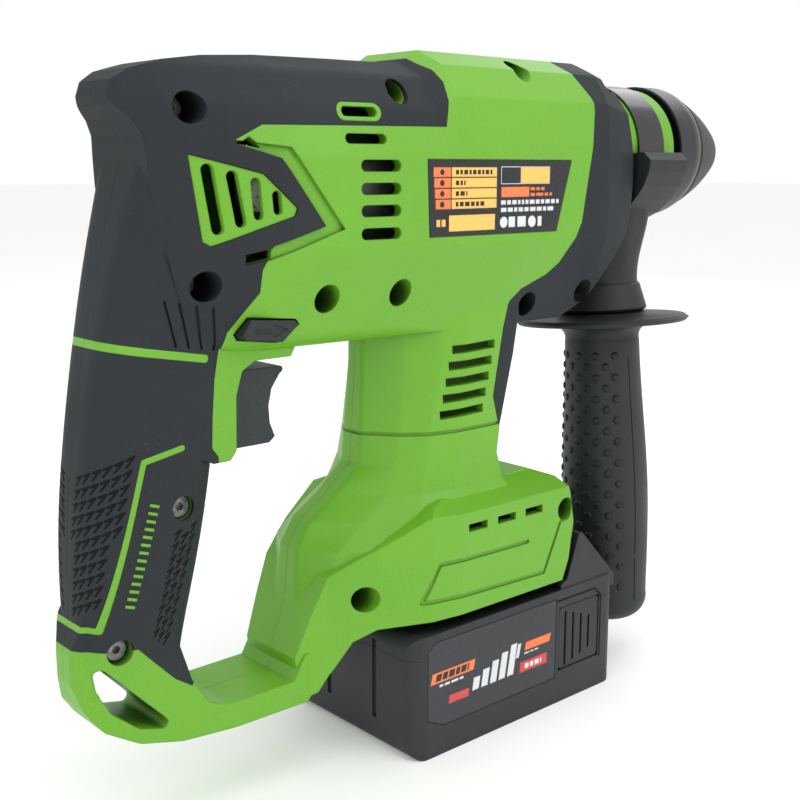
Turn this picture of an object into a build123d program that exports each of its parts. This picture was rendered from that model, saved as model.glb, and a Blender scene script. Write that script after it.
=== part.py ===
from build123d import *
import math
import os

os.makedirs("parts", exist_ok=True)

# Frame: millimetres, +X out of the tool holder along the spindle, +Z up, Y = 0 the parting plane.
# Everything is drawn from a datum on the spindle axis, 8 mm in front of the tool holder's mouth,
# and is saved with its origin in the mouth itself.

# ---- driving dimensions ----
MOUTH = -8.0
WALL = 3.6
SKIN = 1.5
BODY_LOW = -67.0
HALF_WIDTH = 35.5
HANDLE_TOP = 29.5
BARREL_TOP = 34.5
ROTOR_Z = -14.0
LAY_Z = -30.0
SPINDLE_BORE = 13.05
TOOL_BORE = 5.05
COLLAR_R = 27.0
WOBBLE_X = -166.0
SIDE_HANDLE_X = -80.0
SIDE_HANDLE_TILT = -4.0
BATTERY_REAR = -222.0
BATTERY_FRONT = -104.0
BATTERY_HALF = 37.5
BATTERY_LOW = -227.5
BATTERY_TOP = -178.0
BATTERY_SEAM = -187.4
CELL_R = 9.1


# ---- outer form of the tool, shrunk by an inset for the cavity and the soft skins ----
# each section: x, half-width, height of the top, corner rounding, share of the rounder handle form
BODY_SECTIONS = [
    (-326, 8, HANDLE_TOP, 1, 1.0),
    (-319, 14, HANDLE_TOP, 2.5, 1.0),
    (-308, 20.5, HANDLE_TOP, 5, 1.0),
    (-290, 27.5, HANDLE_TOP, 8, 1.0),
    (-270, 32.5, HANDLE_TOP, 9, 1.0),
    (-250, 34.5, HANDLE_TOP, 9, 0.8),
    (-225, HALF_WIDTH, HANDLE_TOP, 8, 0.4),
    (-209, HALF_WIDTH, HANDLE_TOP, 5, 0.1),
    (-200.5, HALF_WIDTH, BARREL_TOP, 2, 0.0),
    (-116, HALF_WIDTH, BARREL_TOP, 2, 0.0),
    (-92, 31, 30.0, 2, 0.0),
]
BODY_SIDE = [
    (-119, -61), (-131, -67), (-252, -67), (-280, -67), (-299, -62), (-306, -44), (-311, -28),
    (-313, -12), (-313.5, -3),
    (-314, 3), (-316.5, 7.5), (-320.5, 11.5), (-322, 14.5), (-320.5, 19), (-315, 22.5), (-304, 25.6),
    (-290, 27.6), (-270, 28.9), (-225, 29.6), (-209, 29.9), (-201, 34.6), (-114, 34.6), (-108, 30),
]


def barrel(inset):
    with BuildPart() as form:
        for x, w, top, r, soft in BODY_SECTIONS:
            w = max(w - inset, 5)
            top = top - inset
            low = BODY_LOW + inset
            half = [((0.40 - 0.10 * soft) * w, top), ((0.74 - 0.08 * soft) * w, top - 5.5),
                    ((0.96 - 0.04 * soft) * w, top - 17), (w, top - 33), (w, -34), (0.66 * w, low)]
            ring = half + [(-y, z) for y, z in reversed(half)]
            with BuildSketch(Plane.YZ.offset(x)):
                with BuildLine():
                    Polyline(*ring, close=True)
                make_face()
                fillet(vertices(), r)
        loft(ruled=True)
        with BuildSketch(Plane.XZ):
            with BuildLine():
                Polyline(*BODY_SIDE)
                ThreePointArc((-108, 30), (-95.5, -10), (-119, -61))
            make_face()
            if inset:
                offset(amount=-inset, kind=Kind.INTERSECTION)
        extrude(amount=60, both=True, mode=Mode.INTERSECT)
    return form.part


# height, rear, front, half-width, corner radius
GRIP_SECTIONS = [
    (4, -311, -262, 21, 10), (-30, -320.5, -272, 19.5, 12), (-60, -328, -281, 18, 13),
    (-100, -335, -288, 17.3, 13.5), (-132, -338, -294, 16.8, 13.5), (-160, -339, -300, 14.2, 12.5),
    (-174, -340, -302, 12, 10.5),
]
# height, then the half outline from the rear nose to the front
STRUT_SECTIONS = [
    (-50, [(-218.5, 4), (-208, 16), (-196, 23.5), (-186, 26.5), (-153, 26.5)]),
    (-78, [(-219, 4), (-208.5, 16), (-196.5, 23.5), (-186.5, 26.5), (-158, 26.5)]),
    (-106, [(-221, 5), (-212, 17), (-203, 24), (-191, 26.5), (-165, 26.5)]),
    (-117, [(-222, 5), (-214, 17.5), (-205.5, 24.5), (-193, 27), (-167, 27)]),
    (-127, [(-234, 5), (-219, 18), (-207, 25.5), (-193, 28.5), (-165, 28.5)]),
    (-135, [(-246, 5), (-231, 19), (-215, 28.5), (-201, 33), (-161, 33)]),
    (-144, [(-251.5, 5), (-243, 18.5), (-230.5, 27.5), (-212, 34.5), (-158, 34.5)]),
    (-168, [(-254, 6), (-248.5, 17.5), (-232, 27.3), (-213, 35), (-158, 35)]),
]
FOOT_SIDE = [
    (-258, -197), (-260.5, -181), (-254.5, -166), (-248, -152), (-238, -146), (-224, -139),
    (-208, -131), (-190, -126.5), (-150, -126.5), (-139.5, -130.5), (-131, -151), (-140.5, -173.5),
    (-232, -173.5), (-240, -177.5), (-246, -187), (-252, -195.5),
]
FOOT_PLAN = [(-264, 14), (-248, 19), (-232, 28), (-212, 36), (-198, 37.8), (-137, 37.8), (-129, 34)]
# half of the foot seen from the front: flat top, sloping shoulder, upright side
FOOT_CROSS = [(24, -110), (25, -127.5), (38, -134), (38, -210)]
TAIL_SIDE = [
    (-250, -178), (-250, -191), (-256, -198), (-285, -198), (-307, -197), (-322, -193.5),
    (-333.5, -187), (-339, -179), (-341.5, -170), (-341.5, -160), (-337.5, -146), (-312, -146),
    (-303, -176), (-297, -186), (-290, -188.5), (-262, -188.5), (-257, -180),
]
TAIL_ROUNDING = 6
TAIL_PLAN = [(-342, 4), (-339, 8), (-333, 10.5), (-324, 13), (-305, 15), (-288, 16.5), (-248, 17)]
LANYARD_HOLE = [(-336.8, -161), (-335.5, -172), (-331, -181), (-322, -188.3), (-308, -192)]


def grip(inset):
    with BuildPart() as form:
        for z, rear, front, half, radius in GRIP_SECTIONS:
            with BuildSketch(Plane.XY.offset(z)):
                with Locations(((rear + front) / 2, 0)):
                    RectangleRounded(front - rear - 2 * inset, 2 * (half - inset), radius - inset)
        loft()
    return form.part


def strut(inset):
    with BuildPart() as form:
        for z, half in STRUT_SECTIONS:
            with BuildSketch(Plane.XY.offset(z)):
                with BuildLine():
                    Polyline(*half, *[(x, -y) for x, y in reversed(half)], close=True)
                make_face()
                fillet(vertices(), 4)
                if inset:
                    offset(amount=-inset, kind=Kind.INTERSECTION)
        loft(ruled=True)
    return form.part


def side_and_plan(side, plan, inset, deep=-240, rounding=0):
    with BuildPart() as form:
        with BuildSketch(Plane.XZ):
            with BuildLine():
                Polyline(*side, close=True)
            make_face()
            if rounding:
                fillet(vertices().filter_by_position(Axis.X, -345, -280), rounding)
            if inset:
                offset(amount=-inset, kind=Kind.INTERSECTION)
        extrude(amount=60, both=True)
        with BuildSketch(Plane.XY.offset(-100)):
            with BuildLine():
                Polyline(*plan, *[(x, -y) for x, y in reversed(plan)], close=True)
            make_face()
            fillet(vertices(), 1.5)
            if inset:
                offset(amount=-inset, kind=Kind.INTERSECTION)
        extrude(amount=deep + 100, mode=Mode.INTERSECT)
    return form.part


def foot(inset):
    with BuildPart() as form:
        add(side_and_plan(FOOT_SIDE, FOOT_PLAN, inset))
        with BuildSketch(Plane.YZ.offset(-262)):
            with BuildLine():
                Polyline(*FOOT_CROSS, *[(-y, z) for y, z in reversed(FOOT_CROSS)], close=True)
            make_face()
            if inset:
                offset(amount=-inset, kind=Kind.INTERSECTION)
        extrude(amount=140, mode=Mode.INTERSECT)
    return form.part


# hood over the trigger
HOOD = [
    (-256.5, -62), (-261, -70), (-276, -70), (-281, -73), (-283.5, -81), (-284, -99.5), (-286.5, -102.5),
    (-293, -102.5), (-303, -98), (-303, -62),
]


def hood(inset):
    with BuildPart() as form:
        with BuildSketch(Plane.XZ):
            with BuildLine():
                Polyline(*HOOD, close=True)
            make_face()
            if inset:
                offset(amount=-inset, kind=Kind.INTERSECTION)
        extrude(amount=17 - inset, both=True)
    return form.part


def outer(inset):
    with BuildPart() as form:
        add(barrel(inset))
        add(hood(inset))
        add(strut(inset))
        add(foot(inset))
        add(grip(inset))
        if not inset or inset < WALL:
            add(side_and_plan(TAIL_SIDE, TAIL_PLAN, inset, rounding=TAIL_ROUNDING))
    return form.part


def strokes(points, width, y0, y1):
    """Round-ended strokes along a line in the side view, as a prism across Y."""
    with BuildPart() as form:
        with BuildSketch(Plane.XZ.offset(-y1)):
            for (xa, za), (xb, zb) in zip(points, points[1:]):
                lean = math.degrees(math.atan2(zb - za, xb - xa))
                with Locations(Location(((xa + xb) / 2, (za + zb) / 2), lean)):
                    SlotOverall(math.hypot(xb - xa, zb - za) + width, width)
        extrude(amount=y1 - y0)
    return form.part


def block(x0, x1, y0, y1, z0, z1):
    with BuildPart() as form:
        with Locations(((x0 + x1) / 2, (y0 + y1) / 2, (z0 + z1) / 2)):
            Box(x1 - x0, y1 - y0, z1 - z0)
    return form.part


def side_prism(points, y0, y1, rounding=0):
    """A prism across Y of an outline in the side view."""
    with BuildPart() as form:
        with BuildSketch(Plane.XZ.offset(-y1)):
            with BuildLine():
                Polyline(*points, close=True)
            make_face()
            if rounding:
                fillet(vertices(), rounding)
        extrude(amount=y1 - y0)
    return form.part


def rod(x, z, radius, y0, y1):
    with BuildPart() as form:
        with BuildSketch(Plane.XZ.offset(-y1)):
            with Locations((x, z)):
                Circle(radius)
        extrude(amount=y1 - y0)
    return form.part


def turned(points, z=0.0):
    """Revolved about a line along X at height z: points are (x, radius)."""
    with BuildPart() as form:
        with BuildSketch(Plane.XZ):
            with BuildLine():
                Polyline(*[(x, r + z) for x, r in points], close=True)
            make_face()
        revolve(axis=Axis((0, 0, z), (1, 0, 0)))
    return form.part


OUTER = outer(0)
UNDER_SKIN = outer(SKIN)

# ---- screws: x, z, depth of the head seat from the middle plane, radius of the recess ----
SCREWS = [
    (-300.5, 11, 8, 4.9), (-223.7, 18.4, 18, 4.3), (-297.2, -43.6, 7, 4.9), (-254, -50, 14, 4.9),
    (-222.3, -50, 16, 4.9), (-153, -59.5, 13, 4.8), (-120.7, -56.5, 12, 4.8), (-235.8, -161.5, 12, 4.8),
    (-139.5, -143.3, 20, 4.8), (-305, -115.2, 11.8, 4.1), (-328, -159.6, 8, 4.4), (-159, 28.6, 10, 4.1),
]
BUTTON_CHANNEL = [(-286.6, -59.9), (-282.7, -54.4), (-265, -56), (-263, -58), (-270.2, -63.9), (-285.1, -62)]
BARREL_VENTS = [(-235.5, -6.3), (-235.5, -13.9), (-235.5, -21.2), (-235.5, -28.8)]
STRUT_VENTS = [(-181.5 - 1.5 * i, -73.7 - 6.1 * i) for i in range(5)]

# ---- openings shared by both halves ----
GRILLE = [(-302.5, -2.7), (-279.5, -8.8), (-268.5, -19.6), (-269.5, -22.3), (-296.5, -31.2), (-299, -29.6)]
# upper end, lower end and width of each of its slots
GRILLE_SLOTS = [
    ((-296.8, -7.6), (-294.2, -25.6), 3.8), ((-289.6, -9.6), (-287.2, -23.6), 3.6),
    ((-282.2, -11.6), (-281.4, -21.6), 3.2), ((-275.4, -15.6), (-275, -20.2), 3),
]
POCKETS = [
    [(-287, 0.4), (-283.6, 2.6), (-279.3, -1)],
    [(-286, -33.9), (-277, -32.2), (-277, -35.4), (-285.8, -37.2)],
]
with BuildPart() as openings:
    for px, pz in BARREL_VENTS:
        with BuildSketch(Plane.XZ):
            with Locations((px, pz)):
                SlotOverall(17, 3.9)
        extrude(amount=60, both=True)
    with BuildSketch(Plane.XZ):
        with Locations((-241.2, 2.4)):
            SlotOverall(17, 3.3)
        with Locations((-243, 11.1)):
            SlotOverall(14.4, 3.2)
    extrude(amount=60, both=True)
    for pocket in POCKETS:
        add(side_prism(pocket, -60, 60))
    for px, pz in STRUT_VENTS:
        with BuildSketch(Plane.XZ):
            with Locations(Location((px, pz), 2)):
                Rectangle(21, 3.2)
        extrude(amount=60, both=True)
    with BuildSketch(Plane.XZ):
        with Locations((-190, -140.1), (-174.3, -140.1), (-158.7, -140.1)):
            Rectangle(10, 3)
    extrude(amount=60, both=True)
    add(side_prism(GRILLE, -60, 60))
    # trigger window
    add(block(-297, -250, -9.4, 9.4, -101.6, -73.8))
    # direction button channel
    add(side_prism(BUTTON_CHANNEL, -60, 60))
    # slideway for the battery
    add(block(-210, -110, -26.5, 26.5, -169.9, -161.4))
    add(block(-206.5, -110, -22.5, 22.5, -180, -169))
    # lanyard loop
    add(side_prism(LANYARD_HOLE, -40, 40, 2))
    # front opening for the collar
    with BuildSketch(Plane.YZ.offset(-112)):
        Circle(COLLAR_R + 0.1)
    extrude(amount=40)

# ---- the cavity, less the screw bosses that stand in it ----
with BuildPart() as boss_rods:
    for px, pz, seat, recess in SCREWS:
        add(rod(px, pz, recess + 1.8, -60, 60))
with BuildPart() as cavity:
    add(outer(WALL))
    add(boss_rods.part, mode=Mode.SUBTRACT)
with BuildPart() as drills:
    for px, pz, seat, recess in SCREWS:
        add(rod(px, pz, recess, -60, -seat))
        add(rod(px, pz, 1.9, -seat - 1, 0))
        add(rod(px, pz, 1.65, -1, seat * 0.8))


def shell_slab(z0, z1, depth):
    """A thin ring just under the strut's skin, for the seam."""
    with BuildPart() as form:
        add(strut(0))
        add(strut(depth), mode=Mode.SUBTRACT)
        add(block(-260, -120, -60, 60, z0, z1), mode=Mode.INTERSECT)
    return form.part


# ---- soft skins: regions of the side view, 1.5 mm deep ----
GRIP_REGION = [
    (-207.5, 40), (-205.5, 29), (-202.5, 22.6), (-204.3, 12), (-205.3, 7), (-279, 6.2), (-288, 1.5),
    (-288, 0.4), (-273.6, -4), (-258, -25.6), (-277, -31.5), (-279.8, -39), (-279.5, -46.4), (-288.8, -59.1),
    (-291.8, -74.4), (-293, -87.8), (-293.4, -97.3), (-291.1, -100.4), (-291.1, -103.5), (-280, -104.5),
    (-290, -150), (-303, -178), (-309, -174), (-322, -160), (-350, -157), (-350, 40),
]
FRONT_REGION = [
    (-130, 40), (-129.5, 28.6), (-125, 20), (-124.7, 14.5), (-126.6, 0), (-132, -28), (-141, -43.6),
    (-146.7, -48), (-159, -53), (-163.5, -57.5), (-166.5, -68), (-171.5, -94), (-168.5, -105),
    (-150, -105), (-80, -60), (-80, 40),
]
# green lines left standing in the handle's skin
STRIPE = [(-345, -57.6), (-295.6, -67.1)]
FRAME_LINE = [(-304.9, -95.2), (-318.8, -97.7), (-334.3, -151.3), (-346, -150)]
# short grooves cut into the skin under the handle's upper screw
SKIN_GROOVES = [[(-310 + 5.3 * i, -47.9 - i), (-306.2 + 4.7 * i, -62 - 0.8 * i)] for i in range(4)]
# groove round the panel on each side of the foot
FOOT_GROOVE = [(-162, -152.3), (-208.4, -151.8), (-215.9, -165.6), (-152, -167.4), (-142.6, -147.8),
               (-139, -147.2)]
CHANNEL = [(-289, 1.5), (-270, -0.6), (-250.6, -26.8), (-278, -36), (-289, -37.5)]
with BuildPart() as engraving:
    add(strokes(FOOT_GROOVE, 1.5, -60, 60))
    for line in SKIN_GROOVES:
        add(strokes(line, 0.9, -60, 60))
    add(OUTER, mode=Mode.INTERSECT)
    add(outer(0.8), mode=Mode.SUBTRACT)
with BuildPart() as linings:
    for px, pz, seat, recess in SCREWS:
        if recess > 4.5:
            add(rod(px, pz, recess + 0.9, -60, -seat))
    add(OUTER, mode=Mode.INTERSECT)
with BuildPart() as skin:
    add(OUTER)
    add(UNDER_SKIN, mode=Mode.SUBTRACT)
    add(linings.part)
with BuildPart() as grip_skin:
    add(skin.part)
    add(side_prism(GRIP_REGION, -60, 60), mode=Mode.INTERSECT)
    add(strokes(STRIPE, 2.7, -60, 60), mode=Mode.SUBTRACT)
    add(strokes(FRAME_LINE, 2.1, -60, 60), mode=Mode.SUBTRACT)
    # green rims round the upper air slot and the screw beside it
    add(strokes([(-249, 11.1), (-237, 11.1)], 6, -60, 60), mode=Mode.SUBTRACT)
with BuildPart() as front_skin:
    add(skin.part)
    add(side_prism(FRONT_REGION, -60, 60), mode=Mode.INTERSECT)
with BuildPart() as channel:
    add(OUTER)
    add(UNDER_SKIN, mode=Mode.SUBTRACT)
    add(side_prism(CHANNEL, -60, 60), mode=Mode.INTERSECT)
with BuildPart() as green:
    add(OUTER)
    add(cavity.part, mode=Mode.SUBTRACT)
    add(openings.part, mode=Mode.SUBTRACT)
    add(drills.part, mode=Mode.SUBTRACT)
    add(grip_skin.part, mode=Mode.SUBTRACT)
    add(front_skin.part, mode=Mode.SUBTRACT)
    add(channel.part, mode=Mode.SUBTRACT)
    add(shell_slab(-105.6, -104.4, 0.8), mode=Mode.SUBTRACT)
    add(engraving.part, mode=Mode.SUBTRACT)

RIGHT = Keep.TOP
LEFT = Keep.BOTTOM


def half(solid, side):
    with BuildPart() as form:
        add(solid)
        split(bisect_by=Plane.XZ, keep=side)
    return form.part


def save(part, name):
    placed = part.moved(Location((-MOUTH, 0, 0)))
    placed.label = name
    export_step(placed, "parts/" + name + ".step")


with BuildPart() as housing_left:
    add(half(green.part, LEFT))
    # seat of the mode knob's shaft
    add(rod(-150, -22, 5.3, 20, 60), mode=Mode.SUBTRACT)
with BuildPart() as housing_right:
    add(half(green.part, RIGHT))
    # shallow bed of the rating label
    add(side_prism([(-215, -4), (-139, -4), (-147, -31), (-214, -31)], -60, -HALF_WIDTH + 0.4),
        mode=Mode.SUBTRACT)
with BuildPart() as grip_skin_cut:
    add(grip_skin.part)
    add(engraving.part, mode=Mode.SUBTRACT)
    add(openings.part, mode=Mode.SUBTRACT)
    add(drills.part, mode=Mode.SUBTRACT)
with BuildPart() as front_skin_cut:
    add(front_skin.part)
    add(openings.part, mode=Mode.SUBTRACT)
    add(drills.part, mode=Mode.SUBTRACT)
    add(rod(-106, 27.5, 4.6, -60, -16), mode=Mode.SUBTRACT)
    add(rod(-106, 27.5, 4.6, 16, 60), mode=Mode.SUBTRACT)

save(housing_left.part, "housing_left")
save(housing_right.part, "housing_right")
save(half(grip_skin_cut.part, LEFT), "grip_overmould_left")
save(half(grip_skin_cut.part, RIGHT), "grip_overmould_right")
save(half(front_skin_cut.part, LEFT), "front_overmould_left")
save(half(front_skin_cut.part, RIGHT), "front_overmould_right")

# ---- air grilles let into the handle ----
with BuildPart() as grilles:
    add(outer(0.4))
    add(outer(2.4), mode=Mode.SUBTRACT)
    with BuildSketch(Plane.XZ):
        with BuildLine():
            Polyline(*GRILLE, close=True)
        make_face()
        offset(amount=-0.15, kind=Kind.INTERSECTION)
    extrude(amount=60, both=True, mode=Mode.INTERSECT)
    for upper, lower, width in GRILLE_SLOTS:
        add(strokes([upper, lower], width, -60, 60), mode=Mode.SUBTRACT)
save(half(grilles.part, LEFT), "vent_grille_left")
save(half(grilles.part, RIGHT), "vent_grille_right")

# ---- screws of the housing ----
with BuildPart() as housing_screws:
    for px, pz, seat, recess in SCREWS:
        add(rod(px, pz, 3.6, -seat - 2.6, -seat))
        add(rod(px, pz, 1.5, -seat, seat * 0.8 - 1))
    for px, pz, seat, recess in SCREWS:
        with BuildSketch(Plane.XZ.offset(seat + 2.6)):
            with Locations((px, pz)):
                RegularPolygon(1.5, 6)
        extrude(amount=-1.6, mode=Mode.SUBTRACT)
save(housing_screws.part, "housing_screws")

# ---- rating label, a thin plate in its bed ----
save(side_prism([(-214.8, -4.3), (-139.5, -4.3), (-147.3, -30.7), (-213.8, -30.7)],
                -HALF_WIDTH + 0.02, -HALF_WIDTH + 0.38), "rating_label")


def gear_ring(teeth, module, bore, x, thick, z, phase, share=0.36):
    """A spur gear on an axis along X: phase is the angle of one tooth from +Y, in degrees."""
    pitch = teeth * module / 2
    root = pitch - 1.25 * module
    tip = pitch + 0.9 * module
    step = 360 / teeth
    points = []
    for i in range(teeth):
        for radius, turn in ((root, -share * 0.72), (tip, -share * 0.3), (tip, share * 0.3),
                             (root, share * 0.72)):
            angle = math.radians(phase + step * (i + turn))
            points.append((radius * math.cos(angle), radius * math.sin(angle) + z))
    with BuildPart() as form:
        with BuildSketch(Plane.YZ.offset(x)):
            with BuildLine():
                Polyline(*points, close=True)
            make_face()
            with Locations((0, z)):
                Circle(bore, mode=Mode.SUBTRACT)
        extrude(amount=thick)
    return form.part


def bearing(x, thick, z, inner, rim):
    """A shielded ball bearing as one ring with its two shield grooves."""
    land = (rim - inner) * 0.28
    end = x + thick
    return turned([(x, inner), (x, inner + land), (x + 0.6, inner + land), (x + 0.6, rim - land),
                   (x, rim - land), (x, rim), (end, rim), (end, rim - land), (end - 0.6, rim - land),
                   (end - 0.6, inner + land), (end, inner + land), (end, inner)], z)


def ring_at(x, thick, z, rim, bore):
    return turned([(x, bore), (x, rim), (x + thick, rim), (x + thick, bore)], z)


# ---- gear case: box round the drive, front wall and nose tube ----
CASE_SIDE = [(-198, 19), (-133, 19), (-127, 27), (-104, 27), (-100, 22), (-100, -40), (-104, -44),
             (-116, -44), (-134, -50.5), (-198, -50.5)]
CASE_GAP = 0.5
CASE_WALL = 2.5
with BuildPart() as case_core:
    add(barrel(WALL + CASE_GAP + CASE_WALL))
    with BuildSketch(Plane.XZ):
        with BuildLine():
            Polyline(*CASE_SIDE, close=True)
        make_face()
        offset(amount=-CASE_WALL, kind=Kind.INTERSECTION)
    extrude(amount=27 - CASE_WALL, both=True, mode=Mode.INTERSECT)
with BuildPart() as gear_case:
    add(barrel(WALL + CASE_GAP))
    add(side_prism(CASE_SIDE, -27, 27), mode=Mode.INTERSECT)
    add(case_core.part, mode=Mode.SUBTRACT)
    add(ring_at(-102.6, 40.6, 0, 23.3, 20))
    # front seat of the intermediate shaft
    add(ring_at(-113, 6, LAY_Z, 10, 7.5))
    # rear seats of the rotor and the intermediate shaft
    add(ring_at(-195.6, 5, LAY_Z, 7.8, 6.5))
    add(ring_at(-199, 1.1, ROTOR_Z, 11, 8))
    with BuildSketch(Plane.YZ.offset(-112)):
        Circle(20)
    extrude(amount=60, mode=Mode.SUBTRACT)
    with BuildSketch(Plane.YZ.offset(-113)):
        with Locations((0, LAY_Z)):
            Circle(7.5)
    extrude(amount=5.8, mode=Mode.SUBTRACT)
    with BuildSketch(Plane.YZ.offset(-199.5)):
        with Locations((0, ROTOR_Z)):
            Circle(8)
    extrude(amount=6, mode=Mode.SUBTRACT)
    add(rod(-150, -22, 4.6, 20, 60), mode=Mode.SUBTRACT)
save(gear_case.part, "gear_case")

save(turned([(-98.5, 23.35), (-98.5, COLLAR_R), (-61.6, COLLAR_R), (-61, COLLAR_R - 0.6), (-61, 17),
             (-61.9, 17), (-61.9, 23.35)]), "nose_collar")
save(bearing(-86, 10, 0, 16.55, 19.98), "spindle_bearing")
save(turned([(-70, 14.35), (-70, 19.98), (-64, 19.98), (-64, 18.6), (-68.5, 18.6), (-68.5, 15.2),
             (-64, 15.2), (-64, 14.35)]), "dust_seal")

# ---- motor ----
with BuildPart() as motor_stator:
    with BuildSketch(Plane.YZ.offset(-250)):
        with Locations((0, ROTOR_Z)):
            Circle(26)
            Circle(13.4, mode=Mode.SUBTRACT)
            with PolarLocations(18.2, 6):
                SlotOverall(7.6, 4.4, mode=Mode.SUBTRACT)
    extrude(amount=38)
    add(ring_at(-253.5, 3.5, ROTOR_Z, 22.5, 14.6))
    add(ring_at(-212, 3, ROTOR_Z, 22.5, 14.6))
save(motor_stator.part, "motor_stator")
save(bearing(-198, 5, ROTOR_Z, 3.05, 7.95), "rotor_bearing_front")
save(bearing(-262, 5, ROTOR_Z, 3.05, 8), "rotor_bearing_rear")
with BuildPart() as motor_cradle:
    add(turned([(-263, 8.03), (-263, 12), (-258.5, 12), (-258.5, 25), (-255, 25), (-255, 9),
                (-257, 9), (-257, 8.03)], ROTOR_Z))
    with BuildSketch(Plane.YZ.offset(-259.5)):
        with Locations((0, ROTOR_Z)):
            with PolarLocations(18, 8):
                Circle(3.4)
    extrude(amount=6, mode=Mode.SUBTRACT)
save(motor_cradle.part, "motor_cradle")

with BuildPart() as rotor_shaft:
    add(turned([(-262.5, 0), (-262.5, 3), (-190.5, 3), (-190.5, 0)], ROTOR_Z))
    add(gear_ring(8, 0.8, 1, -190.5, 8.5, ROTOR_Z, -90))
save(rotor_shaft.part, "rotor_shaft")
with BuildPart() as rotor_core:
    add(ring_at(-251, 40, ROTOR_Z, 12.8, 3.01))
    with BuildSketch(Plane.YZ.offset(-252)):
        with Locations((0, ROTOR_Z)):
            with PolarLocations(8.8, 4):
                Rectangle(1.8, 10)
    extrude(amount=45, mode=Mode.SUBTRACT)
save(rotor_core.part, "rotor_core")
with BuildPart() as cooling_fan:
    add(turned([(-207.5, 3.01), (-207.5, 23.5), (-206.3, 23.5), (-206.3, 6), (-200.5, 6),
                (-200.5, 3.01)], ROTOR_Z))
    with BuildSketch(Plane.YZ.offset(-206.4)):
        with Locations((0, ROTOR_Z)):
            with PolarLocations(15.5, 13):
                Rectangle(14, 1)
    extrude(amount=5)
save(cooling_fan.part, "cooling_fan")

# ---- intermediate shaft with its gears, and the wobble drive ----
with BuildPart() as intermediate_shaft:
    add(turned([(-195, 0), (-195, 3), (-190.5, 3), (-190.5, 5), (-126, 5), (-126, 4), (-107.5, 4),
                (-107.5, 0)], LAY_Z))
    add(gear_ring(12, 1.25, 3.9, -124.5, 11, LAY_Z, 90))
save(intermediate_shaft.part, "intermediate_shaft")
with BuildPart() as drive_gear:
    add(gear_ring(32, 0.8, 5.01, -189, 5.5, LAY_Z, 90 + 360 / 64))
    with BuildSketch(Plane.YZ.offset(-189.5)):
        with Locations((0, LAY_Z)):
            with PolarLocations(8.6, 5):
                Circle(1.7)
    extrude(amount=7, mode=Mode.SUBTRACT)
save(drive_gear.part, "drive_gear")
save(bearing(-195, 4, LAY_Z, 3.05, 6.45), "shaft_bearing_rear")
save(bearing(-112.9, 5, LAY_Z, 4.05, 7.45), "shaft_bearing_front")
WOBBLE_BALL = 10.5
with BuildPart() as wobble_hub:
    with Locations((WOBBLE_X, 0, LAY_Z)):
        Sphere(WOBBLE_BALL)
        Box(15, 40, 40, mode=Mode.INTERSECT)
    with BuildSketch(Plane.YZ.offset(-180)):
        with Locations((0, LAY_Z)):
            Circle(5.01)
    extrude(amount=30, mode=Mode.SUBTRACT)
save(wobble_hub.part, "wobble_hub")
with BuildPart() as wobble_ring:
    add(ring_at(WOBBLE_X - 4.5, 9, LAY_Z, 15.5, 2))
    with BuildSketch(Plane.XY.offset(LAY_Z + 13)):
        with Locations((WOBBLE_X, 0)):
            Circle(2.6)
    extrude(amount=15)
    with Locations((WOBBLE_X, 0, 0)):
        Sphere(3.2)
    with Locations((WOBBLE_X, 0, LAY_Z)):
        Sphere(WOBBLE_BALL + 0.35, mode=Mode.SUBTRACT)
save(wobble_ring.part, "wobble_ring")

# ---- piston, striker and beat piece on the spindle axis ----
with BuildPart() as piston:
    add(turned([(-150, 0), (-150, 13), (-138, 13), (-138, 12.2), (-135.6, 12.2), (-135.6, 13),
                (-124, 13), (-124, 0)]))
    add(block(-176, -149.5, -8, 8, -6, 6))
    # slot the wobble drive's ball end works in, flared below for the swinging pin
    add(side_prism([(WOBBLE_X - 3.55, 7), (WOBBLE_X + 3.55, 7), (WOBBLE_X + 3.55, -1.5), (WOBBLE_X + 5.6, -7),
                    (WOBBLE_X - 5.6, -7), (WOBBLE_X - 3.55, -1.5)], -5, 5), mode=Mode.SUBTRACT)
save(piston.part, "piston")
save(turned([(-112, 0), (-112, 13), (-105.8, 13), (-105.8, 12.2), (-103.4, 12.2), (-103.4, 13),
             (-98, 13), (-95, 8), (-88, 8), (-88, 0)]), "striker")
save(turned([(-84, 0), (-84, 10.4), (-75, 10.4), (-73, 8), (-53.5, 8), (-52, 6.5), (-52, 0)]), "beat_piece")

# ---- spindle and chuck ----
with BuildPart() as spindle:
    add(turned([(-156, SPINDLE_BORE), (-156, 16.5), (-74, 16.5), (-72, 14), (-20, 14), (-17, 10.5),
                (MOUTH, 10.5), (MOUTH, TOOL_BORE), (MOUTH - 42, TOOL_BORE), (MOUTH - 42, 8.05),
                (-71, 8.05), (-71, SPINDLE_BORE)]))
    # windows of the two locking balls
    with Locations((-32, 0, 0)):
        Cylinder(3.75, 40, mode=Mode.SUBTRACT)
save(spindle.part, "spindle")
save(gear_ring(36, 1.25, 16.51, -123.5, 9, 0, -90 + 5), "spindle_gear")
with BuildPart() as locking_balls:
    with Locations((-32, 0, 9.5), (-32, 0, -9.5)):
        Sphere(3.6)
save(locking_balls.part, "locking_balls")
with BuildPart() as dust_cap:
    with BuildSketch(Plane.XZ):
        with BuildLine():
            Polyline((MOUTH + 1, 6.3), (MOUTH + 1, 10.9), (MOUTH, 12.4))
            ThreePointArc((MOUTH, 12.4), (-24, 20.5), (-38.8, 26.2))
            Polyline((-38.8, 26.2), (-39.8, 25.6), (-39.8, 23), (-36, 22.8), (-21.5, 14.02), (-19.98, 14.02),
                     (-16.98, 10.52), (MOUTH + 0.02, 10.52), (MOUTH + 0.02, 6.3), (MOUTH + 1, 6.3))
        make_face()
    revolve(axis=Axis.X)
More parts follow.
